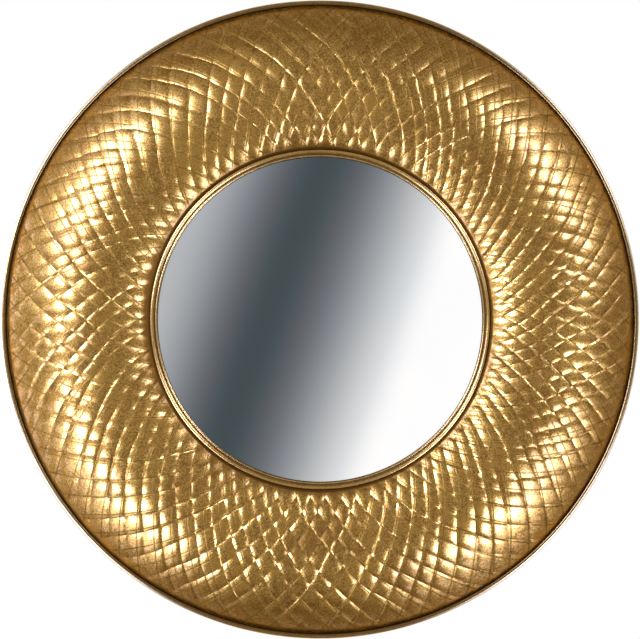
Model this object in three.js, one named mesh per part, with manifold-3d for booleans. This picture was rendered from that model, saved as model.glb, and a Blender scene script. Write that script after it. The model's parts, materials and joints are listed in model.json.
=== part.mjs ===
// Round wall mirror: a convex glass in a wide pressed sheet-metal surround, which carries a pattern of
// crossed spiral grooves. A round rod runs along each edge of the surround, and the cup that holds the
// glass, the stays that brace it and the hanging hardware are behind.
//
// Millimetres, +Z up. The glass faces -Y. The plane Y = 0 is the wall, and the origin is on it, behind the
// middle of the glass. A depth is a distance in front of the wall, so Y = -depth. An angle is turned
// about the mirror's axis from the top, clockwise as the viewer in front sees it, and left and right are
// that viewer's.
import * as THREE from "three";
import { mergeVertices } from "three/addons/utils/BufferGeometryUtils.js";
import Module from "manifold-3d";

const wasm = await Module();
wasm.setup();

// ---------------------------------------------------------------- driving dimensions

const overallDiameter = 800;
const seatGap = 0.3; // between pieces that touch or are welded, riveted or glued together

// Surround
const rimRodDiameter = 7;
const beadRodDiameter = 5;
const sheetThickness = 1.2;
const innerTiltDegrees = 27; // slope of the sheet where it meets the bead
const outerTiltDegrees = 46.5; // slope of the sheet where it meets the rim

// Pattern pressed into the surround
const grooveCount = 77; // in each of the two families of spirals
const spiralCircleDiameter = 505; // each groove is an arc of such a circle through the axis
const grooveDepth = 1.2; // at a crossing, below the smooth sheet
const pillowRise = 0.6; // in the middle of a diamond, above the smooth sheet
const innerPlainBand = 11;
const outerPlainBand = 7;

// Cup that holds the glass
const sightDiameter = 405; // glass that shows
const lipRollDiameter = 3.2;
const lipToBeadGap = 1.2; // the dark line between the lip and the bead
const cupSheet = 1.5;
const cupWallSetback = 0.4; // of the cup's wall inside the edge of the surround

// Glass, gasket and backing board
const glassThickness = 3;
const glassRise = 15; // of the crown above the edge of the glass
const glassClearance = 0.5;
const gasketThickness = 4;
const gasketWidth = 13;
const boardThickness = 5;
const boardClearance = 0.8;

// Clips that hold the board
const clipCount = 6;
const clipWidth = 14;
const clipThickness = 1;
const clipReach = 18;
const clipHeight = 9;
const clipScrewInset = 10; // from the cup's wall to the screw
const screwShankDiameter = 3.2;
const screwHeadDiameter = 7;
const screwHeadHeight = 2.4;
const screwBite = 4; // into the board
const holeClearance = 0.5; // a hole over what goes through it

// Stays and wall bumpers
const stayWidth = 25;
const stayThickness = 3;
const stayOverhang = 6; // of the stay inside the cup's wall
const stayFootLength = 45;
const stayRampLength = 22;
const bumperDiameter = 18;
const bumperThickness = 5;
const bumperInset = 25; // from the outer edge of the rim to the middle of a bumper

// Hangers
const hangerDistance = 270; // from the axis, along the stay
const strapWidth = 14;
const strapThickness = 1.2;
const strapTail = 6; // below the rivet
const ringWire = 3;
const ringPlay = 0.3; // around the wire, in the strap's eye
const ringSideGap = 2; // between the strap and each leg of the ring
const ringLeg = 12;
const ringCorner = 2.5;
const rivetShankDiameter = 4;
const rivetHeadDiameter = 7;
const rivetHeadHeight = 1.8;
const rivetTailHeight = 1.2;
const rivetDrop = 7.5; // from the ring's pivot to the rivet

// ---------------------------------------------------------------- places worked out from them

const ringSteps = grooveCount; // every ring is faceted in step with the grooves, so that facets line up
const facet = Math.cos(Math.PI / ringSteps); // a facet's distance from the axis, for a corner at 1

const rimRadius = (overallDiameter - rimRodDiameter) / 2;
const rimDepth = bumperThickness + stayThickness + seatGap + rimRodDiameter / 2;
const lipRollRadius = lipRollDiameter / 2;
const lipRadius = sightDiameter / 2 + lipRollRadius;
const beadRadius = lipRadius + lipRollRadius + lipToBeadGap + beadRodDiameter / 2;

// The sheet's front is an arc in section, from the bead to the rim.
const sheetInner = beadRadius + beadRodDiameter / 2 + seatGap;
const sheetOuter = rimRadius - rimRodDiameter / 2 - seatGap;
const innerTilt = THREE.MathUtils.degToRad(innerTiltDegrees);
const outerTilt = THREE.MathUtils.degToRad(outerTiltDegrees);
const sheetArcRadius = (sheetOuter - sheetInner) / (Math.sin(innerTilt) + Math.sin(outerTilt));
const sheetArcCentre = sheetInner + sheetArcRadius * Math.sin(innerTilt);
const sheetArcDepth = rimDepth - sheetArcRadius * Math.cos(outerTilt);
const beadDepth = sheetArcDepth + sheetArcRadius * Math.cos(innerTilt);

const flangeFront = beadDepth - beadRodDiameter / 2 - seatGap;
const flangeRear = flangeFront - cupSheet;
const cupOuter = sheetInner - cupWallSetback;
const cupInner = cupOuter - cupSheet;

// The glass is a dome of even thickness that rests against the lip.
const glassRadius = cupInner - glassClearance;
const glassArc = (glassRadius ** 2 + glassRise ** 2) / (2 * glassRise);
const domeDrop = (radius, arc) => arc - Math.sqrt(arc ** 2 - radius ** 2);
const crownDepth = flangeRear - seatGap + domeDrop(lipRadius, glassArc);
const glassRearArc = glassArc - glassThickness;
const glassRearDepth = (radius) => crownDepth - glassThickness - domeDrop(radius, glassRearArc);

const gasketOuter = glassRadius;
const gasketInner = gasketOuter - gasketWidth;
const gasketRear = glassRearDepth(gasketOuter) - seatGap - gasketThickness;
const boardFront = gasketRear - seatGap;
const boardRear = boardFront - boardThickness;
const boardRadius = cupInner - boardClearance;

const clipFront = boardRear - seatGap;
const clipRear = clipFront - clipThickness;
const clipSeat = Math.sqrt((cupInner * facet) ** 2 - (clipWidth / 2) ** 2) - seatGap;
const clipScrewRadius = clipSeat - clipScrewInset;
const cupRear = clipFront - clipHeight;

const stayFront = cupRear - seatGap;
const stayRear = stayFront - stayThickness;
const stayInner = cupInner - stayOverhang;
const stayOuter = rimRadius + rimRodDiameter / 4;
const stayAngles = { top_right: 45, bottom_right: 135, bottom_left: 225, top_left: 315 };
const bumperRadius = overallDiameter / 2 - bumperInset;

const eyeInner = ringWire / 2 + ringPlay;
const eyeOuter = eyeInner + strapThickness;
const strapFront = stayRear - seatGap;
const strapRear = strapFront - strapThickness;
const pivotDepth = strapFront - eyeOuter;
const ringHalfWidth = strapWidth / 2 + ringSideGap + ringWire / 2;

// ---------------------------------------------------------------- finishes

const metal = (color, roughness) => new THREE.MeshStandardMaterial({ color, roughness, metalness: 0.9 });
const dull = (color, roughness) => new THREE.MeshStandardMaterial({ color, roughness, metalness: 0 });
const goldLeaf = () => metal(0xb68a47, 0.35);
const rimLeaf = () => metal(0x8a6a3a, 0.4);
const silvering = () => new THREE.MeshStandardMaterial({ color: 0xd8dadc, roughness: 0.03, metalness: 1 });
const blackSteel = () => metal(0x2a2926, 0.55);
const zincSteel = () => metal(0xb4b6b8, 0.35);
const fibreboard = () => dull(0x8a6d4c, 0.8);
const foam = () => dull(0x26262a, 0.9);
const rubber = () => dull(0x1c1c1c, 0.85);

// ---------------------------------------------------------------- helpers

const mirror = new THREE.Group();

function add(parent, name, geometry, material) {
  const mesh = new THREE.Mesh(geometry, material);
  mesh.name = name;
  parent.add(mesh);
  return mesh;
}

// Turns [radius, depth] corners about the Y axis. A profile that stays clear of the axis is closed.
function turned(corners, steps = ringSteps) {
  const points = corners.map(([radius, depth]) => new THREE.Vector2(radius, -depth));
  if (THREE.ShapeUtils.isClockWise(points)) points.reverse();
  if (points[0].x > 0) points.push(points[0].clone());
  return new THREE.LatheGeometry(points, steps);
}

// [radius, depth] corners along an arc, from one angle to another. Angle 0 points away from the axis
// and 90 degrees to the front.
function arc(centreRadius, centreDepth, size, from, to, pieces) {
  const corners = [];
  for (let i = 0; i <= pieces; i++) {
    const angle = THREE.MathUtils.degToRad(from + ((to - from) * i) / pieces);
    corners.push([centreRadius + size * Math.cos(angle), centreDepth + size * Math.sin(angle)]);
  }
  return corners;
}

function rodRing(radius, depth, diameter, sides) {
  return turned(arc(radius, depth, diameter / 2, 0, 360, sides).slice(0, sides));
}

function outlineOf(corners) {
  return new THREE.Shape(corners.map(([height, depth]) => new THREE.Vector2(height, depth)));
}

// Extrudes a (height, depth) outline sideways. Height runs up the Z axis, and the width is centred on X = 0.
function strip(shape, width) {
  const geometry = new THREE.ExtrudeGeometry(shape, { depth: width, bevelEnabled: false, curveSegments: 10 });
  geometry.translate(0, 0, -width / 2);
  const up = new THREE.Vector3(0, 0, 1);
  const forward = new THREE.Vector3(0, -1, 0);
  const sideways = new THREE.Vector3(1, 0, 0);
  return geometry.applyMatrix4(new THREE.Matrix4().makeBasis(up, forward, sideways));
}

// A round plug along Y between two depths, at a place across the mirror.
function plug(diameter, front, rear, x, z, steps = 12) {
  const geometry = new THREE.CylinderGeometry(diameter / 2, diameter / 2, front - rear, steps);
  return geometry.translate(x, -(front + rear) / 2, z);
}

function toSolid(geometry) {
  const bare = geometry.clone();
  bare.deleteAttribute("normal");
  bare.deleteAttribute("uv");
  const merged = mergeVertices(bare, 1e-4);
  const vertProperties = merged.attributes.position.array;
  const triVerts = new Uint32Array(merged.index.array);
  return new wasm.Manifold(new wasm.Mesh({ numProp: 3, vertProperties, triVerts }));
}

function cut(geometry, cutters) {
  let body = toSolid(geometry);
  for (const cutter of cutters) body = body.subtract(toSolid(cutter));
  const { vertProperties, triVerts } = body.getMesh();
  const result = new THREE.BufferGeometry();
  result.setAttribute("position", new THREE.BufferAttribute(new Float32Array(vertProperties), 3));
  result.setIndex(new THREE.BufferAttribute(new Uint32Array(triVerts), 1));
  result.computeVertexNormals();
  return result;
}

// ---------------------------------------------------------------- surround

// A groove turns by this angle between the axis and a radius, and the other family turns as far back.
const spiralTurn = (radius) => Math.asin(radius / spiralCircleDiameter);

// Rows of corners across the sheet. On a row inside the pattern, every other corner is a crossing of two
// grooves and the ones between are the middles of diamonds, so the rows are half a groove's pitch apart
// in turn.
function sheetRows() {
  const halfPitch = Math.PI / grooveCount;
  const rows = [{ radius: sheetInner, fade: 0 }];
  const lastTurn = spiralTurn(sheetOuter - outerPlainBand);
  for (let turn = spiralTurn(sheetInner + innerPlainBand); turn <= lastTurn; turn += halfPitch) {
    rows.push({ radius: spiralCircleDiameter * Math.sin(turn), fade: 1 });
  }
  rows[1].fade = 0.5;
  rows[rows.length - 1].fade = 0.5;
  rows.push({ radius: sheetOuter, fade: 0 });
  return rows;
}

function sheetPoint(radius, angle, height, edge) {
  const tilt = Math.asin((radius - sheetArcCentre) / sheetArcRadius);
  const reach = (sheetArcCentre + (sheetArcRadius + height) * Math.sin(tilt)) * (edge ? facet : 1);
  const depth = sheetArcDepth + (sheetArcRadius + height) * Math.cos(tilt);
  return [reach * Math.sin(angle), -depth, reach * Math.cos(angle)];
}

function embossedSheet() {
  const rows = sheetRows();
  const columns = 2 * grooveCount;
  const positions = [];
  for (const back of [0, sheetThickness]) {
    rows.forEach(({ radius, fade }, row) => {
      for (let column = 0; column < columns; column++) {
        const crossing = (row + column) % 2 === 0;
        const height = fade * (crossing ? -grooveDepth : pillowRise) - back;
        const onFacet = fade === 0 && column % 2 === 1;
        positions.push(...sheetPoint(radius, (column * Math.PI) / grooveCount, height, onFacet));
      }
    });
  }
  const corner = (side, row, column) => (side * rows.length + row) * columns + (column % columns);
  const faces = [];
  const quad = (a, b, c, d) => faces.push(a, b, c, a, c, d);
  for (let column = 0; column < columns; column++) {
    for (let row = 0; row < rows.length - 1; row++) {
      for (const side of [0, 1]) {
        const around = [
          corner(side, row, column),
          corner(side, row, column + 1),
          corner(side, row + 1, column + 1),
          corner(side, row + 1, column),
        ];
        if ((row + column) % 2 === 1) around.push(around.shift()); // the quad's fold follows the groove
        if (side === 1) around.reverse();
        if (side === 1) around.unshift(around.pop());
        quad(...around);
      }
    }
    const last = rows.length - 1;
    const next = column + 1;
    quad(corner(0, 0, column), corner(1, 0, column), corner(1, 0, next), corner(0, 0, next));
    quad(corner(0, last, next), corner(1, last, next), corner(1, last, column), corner(0, last, column));
  }
  const geometry = new THREE.BufferGeometry();
  geometry.setAttribute("position", new THREE.Float32BufferAttribute(positions, 3));
  geometry.setIndex(faces);
  geometry.computeVertexNormals();
  return geometry;
}

add(mirror, "frame_shell", embossedSheet(), goldLeaf());
add(mirror, "outer_rim_rod", rodRing(rimRadius, rimDepth, rimRodDiameter, 8), rimLeaf());
add(mirror, "inner_bead_rod", rodRing(beadRadius, beadDepth, beadRodDiameter, 6), goldLeaf());

// ---------------------------------------------------------------- cup, glass, gasket and board

function cupProfile() {
  const rollDepth = flangeRear + lipRollRadius;
  const rollStart = THREE.MathUtils.radToDeg(Math.asin((flangeFront - rollDepth) / lipRollRadius));
  return [
    [cupInner, cupRear],
    [cupOuter, cupRear],
    [cupOuter, flangeFront],
    ...arc(lipRadius, rollDepth, lipRollRadius, rollStart, 270, 5),
    [cupInner, flangeRear],
  ];
}

function glassProfile() {
  const rings = 4;
  const corners = [];
  for (let i = 0; i <= rings; i++) {
    const radius = (glassRadius * i) / rings;
    corners.push([radius, crownDepth - domeDrop(radius, glassArc)]);
  }
  for (let i = rings; i >= 0; i--) {
    const radius = (glassRadius * i) / rings;
    corners.push([radius, glassRearDepth(radius)]);
  }
  return corners;
}

const gasketProfile = [
  [gasketInner, glassRearDepth(gasketInner) - seatGap],
  [gasketOuter, glassRearDepth(gasketOuter) - seatGap],
  [gasketOuter, gasketRear],
  [gasketInner, gasketRear],
];

add(mirror, "mirror_cup", turned(cupProfile()), goldLeaf());
add(mirror, "mirror_glass", turned(glassProfile()), silvering());
add(mirror, "glass_gasket", turned(gasketProfile), foam());

const clipAngles = Array.from({ length: clipCount }, (_, i) => (360 / clipCount) * i);
const screwHole = screwShankDiameter + holeClearance;

function boardHole(angle) {
  const turn = THREE.MathUtils.degToRad(angle);
  const x = clipScrewRadius * Math.sin(turn);
  const z = clipScrewRadius * Math.cos(turn);
  return plug(screwHole, boardFront + 1, boardRear - 1, x, z);
}

const boardBlank = plug(2 * boardRadius, boardFront, boardRear, 0, 0, ringSteps);
add(mirror, "backing_board", cut(boardBlank, clipAngles.map(boardHole)), fibreboard());

// ---------------------------------------------------------------- clips and their screws

const clipOutline = [
  [clipSeat - clipReach, clipFront],
  [clipSeat, clipFront],
  [clipSeat, clipFront - clipHeight],
  [clipSeat - clipThickness, clipFront - clipHeight],
  [clipSeat - clipThickness, clipRear],
  [clipSeat - clipReach, clipRear],
];

// A pan-head screw from behind: its head bears on the clip and its shank goes into the board.
function clipScrewProfile() {
  const headFront = clipRear - seatGap;
  const shankTip = boardRear + screwBite;
  const round = screwHeadHeight / 2;
  return [
    [0, shankTip],
    [screwShankDiameter / 2, shankTip - screwShankDiameter / 2],
    [screwShankDiameter / 2, headFront],
    [screwHeadDiameter / 2, headFront],
    ...arc(screwHeadDiameter / 2 - round, headFront - round, round, 0, -90, 2),
    [0, headFront - screwHeadHeight],
  ];
}

clipAngles.forEach((angle, i) => {
  const place = new THREE.Group();
  place.rotation.y = THREE.MathUtils.degToRad(angle);
  mirror.add(place);
  const hole = plug(screwHole, clipFront + 1, clipRear - 1, 0, clipScrewRadius);
  add(place, `board_clip_${i + 1}`, cut(strip(outlineOf(clipOutline), clipWidth), [hole]), zincSteel());
  const screw = add(place, `clip_screw_${i + 1}`, turned(clipScrewProfile(), 10), zincSteel());
  screw.position.z = clipScrewRadius;
});

// ---------------------------------------------------------------- stays and wall bumpers

const stayOutline = [
  [stayInner, stayRear],
  [stayInner, stayFront],
  [stayOuter - stayFootLength - stayRampLength, stayFront],
  [stayOuter - stayFootLength, bumperThickness + stayThickness],
  [stayOuter, bumperThickness + stayThickness],
  [stayOuter, bumperThickness],
  [stayOuter - stayFootLength, bumperThickness],
  [stayOuter - stayFootLength - stayRampLength, stayRear],
];

const rivetHole = rivetShankDiameter + holeClearance;

for (const [corner, angle] of Object.entries(stayAngles)) {
  const place = new THREE.Group();
  place.rotation.y = THREE.MathUtils.degToRad(angle);
  mirror.add(place);
  const blank = strip(outlineOf(stayOutline), stayWidth);
  const hole = plug(rivetHole, stayFront + 1, stayRear - 1, 0, hangerDistance);
  const carriesHanger = corner.startsWith("top");
  add(place, `stay_${corner}`, carriesHanger ? cut(blank, [hole]) : blank, blackSteel());
  const pad = plug(bumperDiameter, bumperThickness - seatGap, 0, 0, bumperRadius, 20);
  add(place, `wall_bumper_${corner}`, pad, rubber());
}

// ---------------------------------------------------------------- hangers

// The strap is rolled into a closed eye at the top, and the ring's straight side turns in it. The strap
// is drawn about its rivet.
function strapBlank() {
  const eyeMeetsStrap = -Math.PI - Math.asin((strapRear - pivotDepth) / eyeOuter);
  const outline = new THREE.Shape();
  outline.moveTo(-strapTail, strapFront);
  outline.lineTo(rivetDrop, strapFront);
  outline.absarc(rivetDrop, pivotDepth, eyeOuter, Math.PI / 2, eyeMeetsStrap, true);
  outline.lineTo(-strapTail, strapRear);
  const eye = new THREE.Path();
  eye.absarc(rivetDrop, pivotDepth, eyeInner, 0, 2 * Math.PI, false);
  outline.holes.push(eye);
  return strip(outline, strapWidth);
}

// The middle line of the ring, about its pivot: a straight side on the X axis, two legs and a half round.
function ringPath() {
  const half = ringHalfWidth;
  const flat = half - ringCorner;
  const bottom = -ringLeg - half;
  const roundness = 0.5523 * half; // makes a cubic curve a quarter of a circle
  const point = (x, z) => new THREE.Vector3(x, 0, z);
  const line = (...ends) => new THREE.LineCurve3(...ends);
  const bend = (...controls) => new THREE.QuadraticBezierCurve3(...controls);
  const quarter = (...controls) => new THREE.CubicBezierCurve3(...controls);
  const reach = -ringLeg - roundness;
  const path = new THREE.CurvePath();
  path.add(line(point(-flat, 0), point(flat, 0)));
  path.add(bend(point(flat, 0), point(half, 0), point(half, -ringCorner)));
  path.add(line(point(half, -ringCorner), point(half, -ringLeg)));
  path.add(quarter(point(half, -ringLeg), point(half, reach), point(roundness, bottom), point(0, bottom)));
  path.add(quarter(point(0, bottom), point(-roundness, bottom), point(-half, reach), point(-half, -ringLeg)));
  path.add(line(point(-half, -ringLeg), point(-half, -ringCorner)));
  path.add(bend(point(-half, -ringCorner), point(-half, 0), point(-flat, 0)));
  return path;
}

// A rivet, with a domed head on the strap and a flatter closed end on the stay.
function rivetProfile() {
  const headFront = strapRear - seatGap;
  const tailRear = stayFront + seatGap;
  const dome = Math.sqrt(0.5);
  return [
    [0, tailRear + rivetTailHeight],
    [(rivetHeadDiameter / 2) * dome, tailRear + rivetTailHeight],
    [rivetHeadDiameter / 2, tailRear],
    [rivetShankDiameter / 2, tailRear],
    [rivetShankDiameter / 2, headFront],
    [rivetHeadDiameter / 2, headFront],
    [(rivetHeadDiameter / 2) * dome, headFront - rivetHeadHeight * dome],
    [0, headFront - rivetHeadHeight],
  ];
}

for (const [side, angle] of [["right", stayAngles.top_right], ["left", stayAngles.top_left]]) {
  const turn = THREE.MathUtils.degToRad(angle);
  const hanger = new THREE.Group();
  hanger.position.set(hangerDistance * Math.sin(turn), 0, hangerDistance * Math.cos(turn));
  mirror.add(hanger);
  const hole = plug(rivetHole, strapFront + 1, strapRear - 1, 0, 0);
  add(hanger, `hanger_strap_${side}`, cut(strapBlank(), [hole]), zincSteel());
  add(hanger, `hanger_rivet_${side}`, turned(rivetProfile(), 10), zincSteel());
  const ring = new THREE.TubeGeometry(ringPath(), 30, ringWire / 2, 6, true);
  add(hanger, `hanger_ring_${side}`, ring, zincSteel()).position.set(0, -pivotDepth, rivetDrop);
}

export default mirror;
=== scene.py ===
import json
import math

import bmesh
import bpy
from mathutils import Matrix, Vector

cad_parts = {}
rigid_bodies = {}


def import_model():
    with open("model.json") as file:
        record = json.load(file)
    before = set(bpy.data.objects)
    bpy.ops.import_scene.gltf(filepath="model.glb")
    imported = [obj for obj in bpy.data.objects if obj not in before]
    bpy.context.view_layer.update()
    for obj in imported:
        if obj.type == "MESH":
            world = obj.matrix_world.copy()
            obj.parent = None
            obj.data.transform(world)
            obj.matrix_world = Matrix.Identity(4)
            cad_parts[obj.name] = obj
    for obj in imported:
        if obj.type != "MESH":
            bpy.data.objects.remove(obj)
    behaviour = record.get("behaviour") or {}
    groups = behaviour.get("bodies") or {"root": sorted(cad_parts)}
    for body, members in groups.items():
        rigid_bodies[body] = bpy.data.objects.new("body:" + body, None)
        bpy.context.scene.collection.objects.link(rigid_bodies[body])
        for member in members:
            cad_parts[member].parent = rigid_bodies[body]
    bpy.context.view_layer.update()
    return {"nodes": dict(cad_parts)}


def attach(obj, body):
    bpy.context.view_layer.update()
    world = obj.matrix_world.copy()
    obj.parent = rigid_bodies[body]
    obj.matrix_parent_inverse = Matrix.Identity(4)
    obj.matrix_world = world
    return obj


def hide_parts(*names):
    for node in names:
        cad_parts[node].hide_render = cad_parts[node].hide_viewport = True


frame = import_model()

scene = bpy.context.scene
mm = 0.001

# ---------------------------------------------------------------- surround
# The surround is one ring of sheet steel, domed and pressed with two families of spiral grooves that
# cut it into diamonds. It is leafed in gold-coloured metal leaf, rubbed back and lacquered. The sheet
# is 1.2 mm thick, and the wander of the hand that set out the grooves shows.

# A groove runs out by its rise for each radian that it goes round, and two first cross by the bead.
INNER_EDGE, OUTER_EDGE = 211.0 * mm, 394.2 * mm
GROOVES, GROOVE_RISE = 77, 430 * mm
FIRST_CROSSING = 223.2 * mm
ARC_RADIUS, ARC_CENTRE, ARC_DEPTH = 153.054 * mm, 281.685 * mm, -93.553 * mm


def feed(tree, item, slot):
    """Links a socket into a slot, or sets the slot to a plain value."""
    if isinstance(item, Amount):
        item = item.socket
    if isinstance(item, bpy.types.NodeSocket):
        tree.links.new(item, slot)
    else:
        slot.default_value = item


def place(tree, kind, inputs=None, **settings):
    """Adds a node to a tree, with its settings and its inputs by name or number."""
    node = tree.nodes.new(kind)
    for name, value in settings.items():
        setattr(node, name, value)
    for name, value in (inputs or {}).items():
        feed(tree, value, node.inputs[name])
    return node


def math_node(tree, operation, *items):
    node = place(tree, "ShaderNodeMath", operation=operation)
    for slot, item in zip(node.inputs, items):
        feed(tree, item, slot)
    return Amount(tree, node.outputs[0])


class Amount:
    """A number that changes over a surface. Arithmetic on it adds Math nodes to its tree."""

    def __init__(self, tree, socket):
        self.tree, self.socket = tree, socket

    def math(self, operation, *others):
        return math_node(self.tree, operation, self, *others)

    def __add__(self, other):
        return self.math("ADD", other)

    def __sub__(self, other):
        return self.math("SUBTRACT", other)

    def __mul__(self, other):
        return self.math("MULTIPLY", other)

    def __truediv__(self, other):
        return self.math("DIVIDE", other)

    def __rsub__(self, other):
        return math_node(self.tree, "SUBTRACT", other, self)

    def __rtruediv__(self, other):
        return math_node(self.tree, "DIVIDE", other, self)

    __radd__, __rmul__ = __add__, __mul__

    def ramp(self, low, high, to_low=0.0, to_high=1.0):
        """Goes smoothly from one value to another as the number passes from low to high."""
        node = place(self.tree, "ShaderNodeMapRange", interpolation_type="SMOOTHSTEP")
        for slot, item in zip(node.inputs, (self, low, high, to_low, to_high)):
            feed(self.tree, item, slot)
        return Amount(self.tree, node.outputs[0])


def vector_of(tree, x, y, z):
    """Three numbers as one vector, which parts_of takes apart again."""
    return place(tree, "ShaderNodeCombineXYZ", {0: x, 1: y, 2: z}).outputs[0]


def parts_of(tree, vector):
    node = place(tree, "ShaderNodeSeparateXYZ", {0: vector})
    return [Amount(tree, socket) for socket in node.outputs]


def noise(tree, vector, scale, detail=2.0, roughness=0.5, distortion=0.0):
    """Smooth noise about 0.5. On places in metres its scale is in cells to the metre."""
    settings = {"Vector": vector, "Scale": scale, "Detail": detail}
    settings.update({"Roughness": roughness, "Distortion": distortion})
    return Amount(tree, place(tree, "ShaderNodeTexNoise", settings).outputs["Fac"])


def chance(tree, *numbers):
    """A random number from 0 to 1 that stays the same wherever the numbers given do."""
    spot = vector_of(tree, *(list(numbers) + [0.0, 0.0])[:3])
    return Amount(tree, place(tree, "ShaderNodeTexWhiteNoise", {0: spot}).outputs["Value"])


def geometry_tree(name, sizes):
    """A Geometry Nodes tree with named sizes and a material, and its inputs by name."""
    tree = bpy.data.node_groups.new(name, "GeometryNodeTree")
    tree.interface.new_socket("Geometry", in_out="OUTPUT", socket_type="NodeSocketGeometry")
    for label, value in sizes.items():
        kind = {int: "NodeSocketInt", float: "NodeSocketFloat"}[type(value)]
        tree.interface.new_socket(label, in_out="INPUT", socket_type=kind).default_value = value
    tree.interface.new_socket("Piece", in_out="INPUT", socket_type="NodeSocketObject")
    tree.interface.new_socket("Material", in_out="INPUT", socket_type="NodeSocketMaterial")
    entry = tree.nodes.new("NodeGroupInput")
    return tree, {socket.name: Amount(tree, socket) for socket in entry.outputs if socket.name}


def finish_tree(tree, geometry, material):
    """Ends a tree: instances are made real and the material is set."""
    real = place(tree, "GeometryNodeRealizeInstances", {0: geometry})
    painted = place(tree, "GeometryNodeSetMaterial", {"Geometry": real.outputs[0], "Material": material})
    place(tree, "NodeGroupOutput", {0: painted.outputs[0]})


def grow(name, tree, **values):
    """Runs a tree in a new object and keeps the result as a plain mesh."""
    piece = bpy.data.objects.new(name, bpy.data.meshes.new(name))
    scene.collection.objects.link(piece)
    modifier = piece.modifiers.new(name, "NODES")
    modifier.node_group = tree
    for item in tree.interface.items_tree:
        key = item.name.lower().replace(" ", "_")
        if item.in_out == "INPUT" and key in values:
            modifier[item.identifier] = values[key]
    graph = bpy.context.evaluated_depsgraph_get()
    mesh = bpy.data.meshes.new_from_object(piece.evaluated_get(graph))
    piece.modifiers.clear()
    piece.data = mesh
    mesh.name = name
    return piece


def groove_numbers(angle, turn):
    """How many grooves of each family have been passed. A whole number is on a groove."""
    half, pitch = math.pi / GROOVES, math.pi * 2 / GROOVES
    across = turn - FIRST_CROSSING / GROOVE_RISE
    return (angle - half - across) / pitch, (angle - half + across) / pitch


def spacing_of(radius):
    """The distance between two grooves of a family, which grows toward the rim."""
    return radius * 0.0438 + 6.8 * mm


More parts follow.
